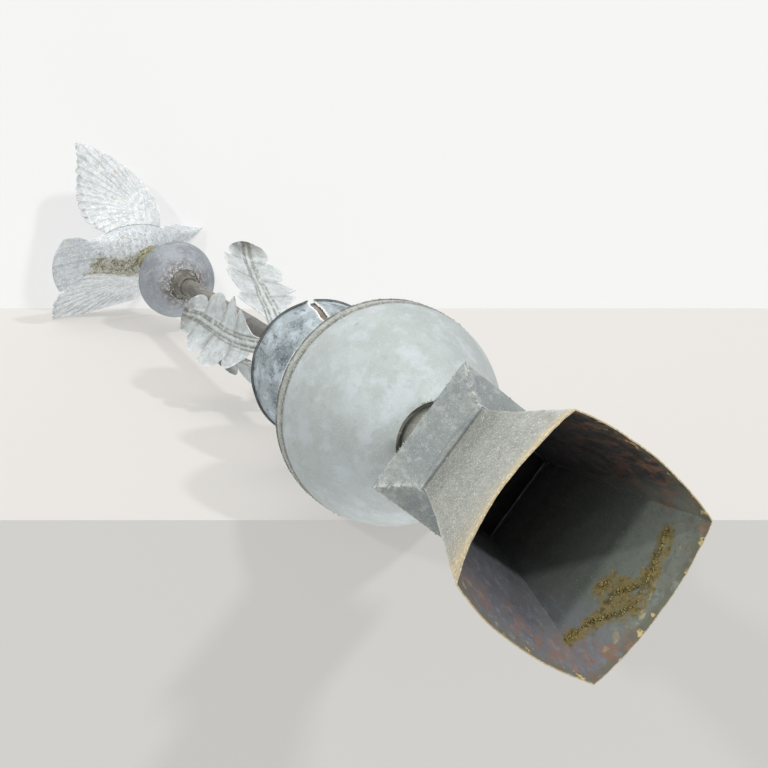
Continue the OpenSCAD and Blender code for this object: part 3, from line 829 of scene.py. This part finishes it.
leaf_zinc = finish("leaf zinc", "c6cccc", [
    ("abb1b0", 0.75, 22, 0.42, 0.60), ("ccd2d2", 0.7, 8, 0.48, 0.64),
    ("7b7f7a", 0.6, 4, 0.56, 0.68), ("d9dcda", 0.8, 1.8, 0.56, 0.64), ("6a5f4c", 0.8, 3.5, 0.66, 0.72),
    ("6c6a5e", 0.85, 10, 0.30, 0.55, None, "groove_shade"), ("e4e7e5", 0.8, 9, 0.35, 0.55, None, "edge"),
    ("4f4a42", 0.85, 16, 0.30, 0.55, None, "tip")],
    bumps=((9, 0.8), (3, 0.5), (1, 0.2)))


def leaf_piece(number, turn, bend):
    """One oak leaf, its own dents and waves differing from its neighbours'."""
    centre = np.array([stem_r + 1.2, 0.0, leaf_z])
    grid, groove_shades, edges, tips = [], [], [], []
    for i in range(leaf_rows):
        t = i / (leaf_rows - 1)
        lean = math.radians(float(smooth(t, leaf_leans)) + bend)
        way = np.array([math.sin(lean), t * math.sin(math.radians(leaf_drift)), math.cos(lean)])
        way /= np.linalg.norm(way)
        if i:
            centre = centre + leaf_len / (leaf_rows - 1) * way
        across = np.array([0.0, 1.0, 0.0]) - way[1] * way
        across /= np.linalg.norm(across)
        out = np.cross(across, way)
        turned = math.radians(leaf_twist * min(1, 2 * t))
        across, out = (math.cos(turned) * across + math.sin(turned) * out,
                       math.cos(turned) * out - math.sin(turned) * across)
        wide = leaf_half * float(smooth(t, leaf_outline))
        share = (leaf_lobes * t + 0.62) % 1
        lobe = math.sqrt(max(0.0, 1 - 0.995 * (2 * share - 1) ** 2))
        lobed = wide * (1.06 if t > 0.16 else 1) * (1 - 0.5 * (1 - lobe) * min(1, max(0, t - 0.1) / 0.08))
        if t > 0.9:
            lobed *= math.sqrt(max(0.0, 1 - ((t - 0.9) / 0.1002) ** 2))
        row, groove_shade, edge = [], [], []
        for j in range(leaf_columns):
            v = 2 * j / (leaf_columns - 1) - 1
            reach = abs(v) * lobed
            ahead = 0.06 * reach * abs(v)
            rib = math.exp(-(reach / 3.4) ** 2)
            vein_at = t + 0.12 * reach / leaf_len
            between = zigzag(leaf_lobes * vein_at + 0.62)
            flute = math.exp(-((reach - 9 + 4 * t) / 2.4) ** 2) + math.exp(-((reach - 16 + 7 * t) / 2.4) ** 2)
            vein = math.exp(-(between * leaf_len / leaf_lobes / 2 / 2.6) ** 2) * min(1, reach / 4)
            pucker = 2.8 * (between ** 2) * min(1, reach / 10)
            place = centre + v * lobed * across + ahead * way
            spot = (place[0] + 400 * number, place[1], place[2])
            lift = 3.2 * rib * (1 - 0.6 * t) + 1.3 * vein + 1.3 * flute - pucker + leaf_fold * reach
            lift += 1.1 * rough(spot, 16, 23) + 0.45 * rough(spot, 5, 24)
            lift += 5.0 * abs(v) ** 3 * rough(spot, 40, 25)
            row.append(place + lift * out)
            # Painted shade: the leaf is marked darker in its creases, between the lobes and beside the ribs.
            groove_shade.append(max(0.6 * between ** 5 * min(1, reach / 8), math.exp(-((reach - 5) / 2.2) ** 2),
                              math.exp(-((reach - 12.5 + 5 * t) / 1.8) ** 2)))
            edge.append(abs(v) ** 14)
        grid.append(row)
        groove_shades.append(groove_shade)
        edges.append(edge)
        tips.append([max(0, (t - 0.86) / 0.14)] * leaf_columns)
    grid = np.array(grid)
    c, s = math.cos(math.radians(turn)), math.sin(math.radians(turn))
    grid = grid @ np.array([[c, s, 0], [-s, c, 0], [0, 0, 1]])
    leaf = sheet_piece(f"leaf_{number}", grid, [leaf_zinc], thickness=1.6, closed=False, middle=1,
                       crease=70, marks={"groove_shade": groove_shades, "edge": edges, "tip": tips})
    settle(leaf, "pale_zinc", f"leaf_{number}")


for number, (turn, bend) in enumerate(zip(leaf_turns, leaf_bends), 1):
    leaf_piece(number, turn, bend)

# ---- Dove ----
# The dove is stamped in two halves from thin zinc and soldered together, with small overlapping
# feathers on its body and long ones in its fanned tail. It leans on a lump of solder and dirt on
# the ball, and the crust has crept over its belly.

dove_turn = 50
dove_pitch = 15
dove_roll = 17
stub_h = 30
dove_x = -16
dove_belly = 48
tail_round = 20
dove_stations = ((-178, 60, 2.5, -16, 10), (-146, 56, 4, -10, 7), (-112, 40, 9, -4, 3),
                 (-75, 44, 26, 0, 0), (-35, 55, 42, 0, 0), (5, 57, 48, 0, 0), (42, 50, 44, 6, 0),
                 (72, 37, 37, 20, 0), (95, 29, 31, 36, -3), (115, 25, 26, 44, -6), (133, 20, 21, 44, -9),
                 (145, 15, 15, 40, -12), (158, 9, 9, 37, -17), (175, 1, 1, 34, -25))
perch = (Matrix.Translation((0, 0, ball_z)) @ Matrix.Rotation(math.radians(dove_turn), 4, "Z")
         @ Matrix.Rotation(math.radians(-dove_pitch), 4, "Y")
         @ Matrix.Rotation(math.radians(dove_roll), 4, "X") @ Matrix.Translation((0, 0, ball_r)))
perch = np.array(perch)


def perched(grid):
    """Moves points from the dove's own frame to its place on the ball."""
    grid = np.asarray(grid, float)
    return grid @ perch[:3, :3].T + perch[:3, 3]


def dove_skin(t, angle):
    """A point on the dove's smooth skin, and its outward direction across the body."""
    x, wide, high, middle, left = smooth(t, dove_stations)
    c, s = math.cos(angle), math.sin(angle)
    back = tail_round * max(0, 1 - 6 * t) * s * s
    out = np.array([0, c / wide, s / high])
    return (np.array([x + dove_x - back, wide * c + left, middle + dove_belly + high * s + stub_h + 0.2]),
            out / np.linalg.norm(out))


dove_rings = 190
dove_ring_points = 84
tail_end = 0.19
eye_at = (0.712, math.radians(28))
dove_len = 351
head_r = 27
belly_path = [(-104, 24, 68), (-76, 22, 56), (-48, 18, 40), (-22, 12, 32), (5, 6, 31)]
# The body's dark marks are painted shade: under the tips of the overlapping feathers, between the tail
# feathers and in the groove round each eye.
body_grid, feather_shade = [], []
for i in range(dove_rings):
    t = i / (dove_rings - 1)
    row, dark = [], []
    for j in range(dove_ring_points):
        angle = 2 * math.pi * j / dove_ring_points
        p, out = dove_skin(t, angle)
        x, wide, high = smooth(t, dove_stations)[:3]
        across = angle * (wide + high) / 2
        shade = 0.0
        lift = 0.0
        if t < tail_end + 0.05:
            tail = min(1, (tail_end + 0.05 - t) / 0.05)
            spread = 5.0 * math.cos(angle) * (0.6 + 0.4 * min(1, (0.24 - t) / 0.2))
            split = zigzag(spread)
            lift += tail * (0.7 - 1.3 * split ** 6 + 0.25 * math.sin(p[0] * 1.9 + 9 * split))
            shade = max(shade, 0.45 * tail * split ** 7)
        feathers = max(0, min(1, (t - tail_end) / 0.04, (0.78 - t) / 0.06))
        length = 13 - 5 * max(0, (t - 0.55) / 0.2)
        slant = across / 15 + p[0] / length / 2
        split = zigzag(slant)
        phase = -p[0] / length + 0.45 * split ** 2
        tip = phase - math.floor(phase)
        lift += feathers * (1.25 * tip - 0.6 + 0.15 * math.sin(30 * slant))
        shade = max(shade, feathers * max(0, 1 - tip / 0.16))
        for side in (1, -1):
            turn_to = eye_at[1] if side > 0 else math.pi - eye_at[1]
            gap = math.hypot((t - eye_at[0]) * dove_len, (angle - turn_to) * head_r)
            lift += 1.5 * math.exp(-(gap / 3.0) ** 2) - 0.9 * math.exp(-((gap - 5.2) / 1.5) ** 2)
            shade = max(shade, 0.9 * math.exp(-((gap - 5.2) / 1.6) ** 2))
        if t > 0.83:
            lift -= 0.5 * math.exp(-(math.sin(angle) * high / 1.0) ** 2)
        lift += 0.9 * rough(p, 22, 27) + 0.4 * rough(p, 7, 28) if t < 0.83 else 0
        row.append(p + lift * out * min(1, high / 4))
        dark.append(shade)
    body_grid.append(row)
    feather_shade.append(dark)
body_grid = np.array(body_grid)
belly_mark = near_path(body_grid, belly_path, 44)
belly_patchy = rough_over(body_grid, (0.8, 16, 47), (0.6, 6, 48))
belly_mark = np.clip(1.7 * (belly_mark - 0.36 + 0.5 * belly_patchy), 0, 1)
crust_bump = rough_over(body_grid, (1, 9, 29), (0.6, 4, 30))
body_grid[..., 2] -= belly_mark * (1.2 + 2.0 * crust_bump) * (body_grid[..., 2] < 62)


def capped(piece):
    """Closes a turned piece's open ends with faces."""
    mesh = bmesh.new()
    mesh.from_mesh(piece.data)
    bmesh.ops.holes_fill(mesh, edges=[e for e in mesh.edges if e.is_boundary], sides=0)
    bmesh.ops.triangulate(mesh, faces=[f for f in mesh.faces if len(f.verts) > 4])
    mesh.to_mesh(piece.data)
    mesh.free()
    return piece


dove_zinc = finish("dove zinc", "bfc5c8", [
    ("a6adb0", 0.75, 30, 0.42, 0.60), ("d2d7da", 0.7, 10, 0.48, 0.64),
    ("8a9091", 0.6, 5, 0.58, 0.70), ("eceeee", 0.9, 2.2, 0.52, 0.62), ("cdbda6", 0.5, 14, 0.58, 0.68),
    ("73787a", 0.7, 8, 0.25, 0.50, None, "groove_shade"),
    ("93917a", 0.85, 12, 0.30, 0.50, None, "crust"), ("665a3c", 0.9, 9, 0.48, 0.58, None, "crust"),
    ("493c2e", 0.9, 4, 0.55, 0.63, None, "crust"), ("d6d5c6", 0.85, 2.4, 0.53, 0.60, None, "crust")],
    bumps=((6, 0.5), (2, 0.35), (0.8, 0.12)))
body = sheet_piece("dove_body", perched(body_grid), [dove_zinc], thickness=0, crease=80,
                   marks={"groove_shade": feather_shade, "crust": belly_mark})
settle(capped(body), "pale_zinc", "dove_body")

# The dove stands on a lump of old solder and dirt.

stub_rows = 26
stub_columns = 72
stub_foot_r, stub_top_r = 40.0, 34.0
stub_foot = -(ball_r - math.sqrt(ball_r ** 2 - stub_foot_r ** 2)) - 1.5
stub_grid = []
for i in range(stub_rows + 6):
    t = min(i / (stub_rows - 1), 1)
    z = stub_foot + (stub_h + 4 - stub_foot) * t
    r = stub_foot_r + (stub_top_r - stub_foot_r) * t - 5 * math.sin(math.pi * t)
    r *= 1 - max(0, i - stub_rows + 1) / 6.05
    ring = []
    for k in range(stub_columns):
        a = 2 * math.pi * k / stub_columns
        p = (r * math.cos(a) * 1.12, r * math.sin(a) * 0.88, z)
        bump = 3.4 * rough(p, 17, 33) + 2.0 * rough(p, 7, 34) + 1.0 * rough(p, 3.5, 35)
        ring.append((p[0] + bump * math.cos(a), p[1] + bump * math.sin(a), z + 0.5 * bump * (t < 0.95)))
    stub_grid.append(ring)
stub_crust = finish("perch crust", "86826a", [
    ("5c5139", 0.85, 9, 0.44, 0.58), ("abaa90", 0.8, 4, 0.50, 0.60), ("3f3527", 0.8, 3, 0.60, 0.68),
    ("cfcfba", 0.8, 1.6, 0.62, 0.68)], roughness=(0.75, 0.95), metallic=0.05,
    bumps=((8, 1.2), (3, 0.7), (1, 0.3)))
stub = sheet_piece("dove_stub", perched(stub_grid), [stub_crust], thickness=0, crease=180)
settle(capped(stub), "crust", "dove_stub")
belly_lines = [[dove_skin(t, math.radians(angle))[0] + [0, 0, 0.4] for t in np.linspace(0.33, 0.6, 20)]
               for angle in (248, 262, 276)]
lump_piece("dove_belly_crust", [perched(line).tolist() for line in belly_lines], stub_crust, "crust",
           1.8, 1.9, 1.5, 61, 0.5)

# ---- Wings ----
# Each wing is one sheet of zinc stamped with overlapping feathers and soldered along its root.
# The feathers' tips are split and frayed, and the solder has let go here and there.

wing_t = 3
wing_lift = 14
wing_droop = 0.0006
wing_root_angle = 18
root_front, root_back = 0.52, 0.24
wing_shapes = {
    "left": (1, 30, ((0, 0), (-6, 58), (2, 124), (40, 138), (92, 150), (146, 166), (192, 172)),
             ((134, 0), (174, 20), (198, 44), (214, 70), (222, 100), (218, 134), (206, 160))),
    "right": (-1, 45, ((0, 0), (-8, 34), (0, 76), (34, 128), (84, 168), (134, 192), (158, 194)),
              ((134, 0), (168, 24), (182, 56), (180, 96), (172, 136), (164, 168), (160, 190)))}
wing_rows = 112
wing_columns = 130
wing_wrist = np.array([8.0, 22.0])
feather_angle = 5.5
covert_row = 15
covert_end, feather_start = 78, 62

wing_zinc = finish("wing zinc", "c8cccd", [
    ("b0b6b8", 0.7, 26, 0.42, 0.60), ("dcdfdf", 0.7, 9, 0.48, 0.64),
    ("959b9c", 0.5, 4, 0.58, 0.68), ("eff0ef", 0.9, 2, 0.52, 0.62), ("d2c5b0", 0.5, 16, 0.58, 0.70),
    ("70757a", 0.8, 8, 0.25, 0.50, None, "groove_shade"), ("5d5f60", 0.85, 14, 0.30, 0.55, None, "tip"),
    ("eceeed", 0.8, 9, 0.35, 0.55, None, "edge")],
    bumps=((6, 0.4), (2, 0.35), (0.8, 0.12)))


def wing_piece(side_name):
    """A wing whose long feathers fan from the root and whose coverts lie over them in scallops."""
    side, raised, front_edge, back_edge = wing_shapes[side_name]
    root_gap = wing_t / 2 * abs(math.sin(math.radians(raised - wing_root_angle))) + 0.2
    root_angle = math.radians(wing_root_angle if side > 0 else 180 - wing_root_angle)
    seed = 70 if side > 0 else 90
    r = math.radians(raised)
    grid, groove_shades, tips, edges = [], [], [], []
    for i in range(wing_rows):
        v = i / (wing_rows - 1)
        row, groove_shade, tip, edge = [], [], [], []
        for j in range(wing_columns):
            u = j / (wing_columns - 1)
            t = root_front + (root_back - root_front) * u
            root, out = dove_skin(t, root_angle)
            root = root + root_gap * out
            front, back = smooth(v, front_edge), smooth(v, back_edge)
            flat = front + (back - front) * u
            arm = flat - wing_wrist
            far = math.hypot(*arm)
            fan = math.degrees(math.atan2(arm[1], arm[0])) / feather_angle
            split = zigzag(fan)
            reach = clamp((far - feather_start) / 12) * min(1, u * 5)
            row_at = far / covert_row
            slot = fan * 1.5 + 0.5 * (math.floor(row_at) % 2)
            scallop = row_at + 0.4 * zigzag(slot) ** 2
            covert = clamp((covert_end - far) / 10) * min(1, v * 12)
            cover_tip = scallop - math.floor(scallop)
            fray = (0.5 + 0.5 * rough((u * 60, v * 160, seed), 9, 36)) * max(0, (u - 0.92) / 0.08)
            notch = split ** 6 * max(0, (u - 0.88) / 0.12) * 7
            trail = (back - front) / max(np.linalg.norm(back - front), 1)
            flat = flat - trail * (notch + 4 * fray) * min(1, 6 * v) * min(1, 8 * (1 - v))
            lift = wing_lift * math.sin(math.pi * u) * min(1, 3 * v) - wing_droop * flat[1] ** 2
            lift += reach * (0.9 - 1.5 * split ** 4) + 0.28 * reach * math.sin(28 * fan)
            lift += covert * (0.8 * cover_tip - 0.4)
            streak = rough((fan * 9, far * 0.12, seed), 2.2, 39)
            spot = (flat[0], flat[1], seed)
            lift += (1.4 * rough(spot, 38, 37) + 0.6 * rough(spot, 12, 38)) * min(1, 6 * v)
            lift *= min(1, 12 * v)
            row.append(root + [back_edge[0][0] * u - flat[0],
                               side * (flat[1] * math.cos(r) - lift * math.sin(r)),
                               flat[1] * math.sin(r) + lift * math.cos(r)])
            # Painted shade between the long feathers and under the coverts' tips, with dark streaks along the
            # feathers.
            groove_shade.append(max(0.5 * reach * split ** 6, 0.35 * covert * max(0, 1 - cover_tip / 0.2),
                              max(0, 1.5 * streak - 0.45)))
            # Painted shade: the wing's tip and trailing edge are painted dark.
            tip.append(max(0, (u - 0.95) / 0.05) * 0.6 + max(0, (v - 0.95) / 0.05))
            edge.append(max(abs(2 * u - 1) ** 24, v ** 30, max(0, -1.6 * streak - 0.3)))
        grid.append(row)
        groove_shades.append(groove_shade)
        tips.append(tip)
        edges.append(edge)
    grid = perched(grid)
    if side < 0:
        grid = grid[:, ::-1]
        groove_shades, tips, edges = ([row[::-1] for row in values] for values in (groove_shades, tips, edges))
    wing = sheet_piece(f"dove_{side_name}_wing", grid, [wing_zinc], thickness=2.2, closed=False, middle=1,
                       crease=80, marks={"groove_shade": groove_shades, "tip": tips, "edge": edges})
    settle(wing, "pale_zinc", f"dove_{side_name}_wing")


for name, side in (("left", 1), ("right", -1)):
    wing_piece(name)
    angle = math.radians(wing_root_angle if side > 0 else 180 - wing_root_angle)
    root_line = []
    for u in np.linspace(0.02, 0.98, 24):
        p, out = dove_skin(root_front + (root_back - root_front) * u, angle)
        root_line.append(p + 1.2 * out)
    if side < 0:
        root_line = root_line[:7] + root_line[13:]
    lump_piece(f"wing_root_solder_{name}", [perched(root_line).tolist()], solder, "pale_zinc",
               3.2, 1.6, 1.4, 80 + side, 0.5)

# ---- Table, camera and light ----
# Not part of the finial: a white table, its cloth, the wall and the floor, two soft boxes, lights
# over the table, overhead and behind, and the camera. The surfaces show only their front.


def backdrop(name, corners, front, shade, own=0.6, facing=None):
    """A white surface that shows only its front, and only along the way given by facing.

    A share of its tone is its own light, which keeps the shadows on it pale."""
    mesh = bpy.data.meshes.new(name)
    mesh.from_pydata([tuple(c) for c in corners], [], [(0, 1, 2, 3)])
    if mesh.polygons[0].normal.dot(front) < 0:
        mesh.flip_normals()
    plane = in_scene(name, mesh)
    material = bpy.data.materials.new(name)
    material.use_nodes = True
    tree = material.node_tree
    shader = tree.nodes["Principled BSDF"]
    lit = tone(shade)
    for socket, value in (("Base Color", tuple(0.5 * c for c in lit[:3]) + (1,)), ("Emission Color", lit),
                          ("Emission Strength", own), ("Roughness", 0.9), ("Specular IOR Level", 0.0)):
        shader.inputs[socket].default_value = value
    clear = add_node(tree, "ShaderNodeBsdfTransparent")
    seen_from = add_node(tree, "ShaderNodeNewGeometry")
    hidden = seen_from.outputs["Backfacing"]
    if facing is not None:
        line = add_node(tree, "ShaderNodeVectorMath", seen_from.outputs["Incoming"], tuple(facing),
                        operation="DOT_PRODUCT").outputs["Value"]
        hidden = reckon(tree, "MAXIMUM", hidden, reckon(tree, "LESS_THAN", line, 0.9))
    either = add_node(tree, "ShaderNodeMixShader", hidden, shader, clear)
    tree.links.new(either.outputs[0], tree.nodes["Material Output"].inputs["Surface"])
    mesh.materials.append(material)
    plane.visible_shadow = False
    plane.visible_diffuse = False
    plane.visible_glossy = False


camera_at = Vector((-0.0709, -0.8575, -1.3721))
camera_right = Vector((0.5947, 0.7293, -0.3384)).normalized()
camera_view = Vector((0.046, 0.3893, 0.92))
camera_view = (camera_view - camera_view.dot(camera_right) * camera_right).normalized()
camera_up = camera_right.cross(camera_view)
table_up = Vector((0.767, -0.640, -0.031)).normalized()
table_away = (camera_view - camera_view.dot(table_up) * table_up).normalized()
table_side = table_away.cross(table_up)
table_reach = 2.06
table_drop = 0.168
table_depth = 1.46
table_half = 3
cloth_fall = 1.6
wall_height = 1.9
floor_half = 40
floor_z = -0.0005


def strip(middle, sideways, half, onward):
    """The corners of a flat surface that runs both ways along one side and on from it."""
    return [middle - half * sideways, middle + half * sideways,
            middle + half * sideways + onward, middle - half * sideways + onward]


edge_middle = camera_at + table_reach * table_away - (table_drop + camera_at.dot(table_up)) * table_up
wall_middle = edge_middle + table_depth * table_away
backdrop("table", strip(edge_middle, table_side, table_half, table_depth * table_away),
         table_up, "d0cdc9", 0.62, -camera_view)
backdrop("table cloth", strip(edge_middle, table_side, table_half, -cloth_fall * table_up),
         -table_away, "cdcbc7", 0.52, -camera_view)
backdrop("wall", strip(wall_middle, table_side, table_half, wall_height * table_up),
         -table_away, "ededec", 0.52, -camera_view)
backdrop("floor", strip(Vector((0, -floor_half, floor_z)), Vector((1, 0, 0)), floor_half,
                        Vector((0, 2 * floor_half, 0))), Vector((0, 0, 1)), "f2f1ef", 0.62)


def soft_light(name, place, aim, size, power):
    """A large soft light aimed at a point."""
    lamp = bpy.data.lights.new(name, "AREA")
    lamp.shape = "SQUARE"
    lamp.size = size
    lamp.energy = power
    light = in_scene(name, lamp)
    light.location = place
    light.rotation_euler = (Vector(aim) - Vector(place)).to_track_quat("-Z", "Y").to_euler()


waist_high = Vector((0, 0, 1.0))
for name, towards, power in (("soft box on the left", (0.0, -0.91, -0.41), 0.75),
                             ("soft box on the right", (0.70, -0.20, -0.68), 1.45)):
    lamp = bpy.data.lights.new(name, "SUN")
    lamp.energy = power
    lamp.angle = math.radians(4)
    light = in_scene(name, lamp)
    light.rotation_euler = Vector(towards).to_track_quat("Z", "Y").to_euler()
soft_light("light over the table", waist_high + 4.5 * table_up + Vector((0, 0, 0.5)), waist_high, 4.0, 55)
soft_light("light overhead", (0.4, -0.6, 6.0), waist_high, 3.0, 130)
soft_light("fill from behind", (-3.0, 3.5, 2.0), waist_high, 4.0, 90)
world = bpy.data.worlds.new("soft room")
bpy.context.scene.world = world
world.use_nodes = True
room = world.node_tree
glow = room.nodes["Background"]
glow.inputs["Color"].default_value = (1, 1, 1, 1)
glow.inputs["Strength"].default_value = 0.70
seen = add_node(room, "ShaderNodeBackground", (0.96, 0.96, 0.96, 1), 1.0)
choice = add_node(room, "ShaderNodeMixShader", add_node(room, "ShaderNodeLightPath").outputs[0],
                  glow.outputs[0], seen.outputs[0])
room.links.new(choice.outputs[0], room.nodes["World Output"].inputs["Surface"])

camera_data = bpy.data.cameras.new("camera")
camera_data.lens = 75
camera_data.sensor_width = 36
camera_data.clip_start = 0.05
camera_data.clip_end = 60
camera = in_scene("camera", camera_data)
camera_turn = Matrix((camera_right, camera_up, -camera_view)).transposed().to_4x4()
camera.matrix_world = Matrix.Translation(camera_at) @ camera_turn
bpy.context.scene.camera = camera
bpy.context.scene.view_settings.view_transform = "Standard"
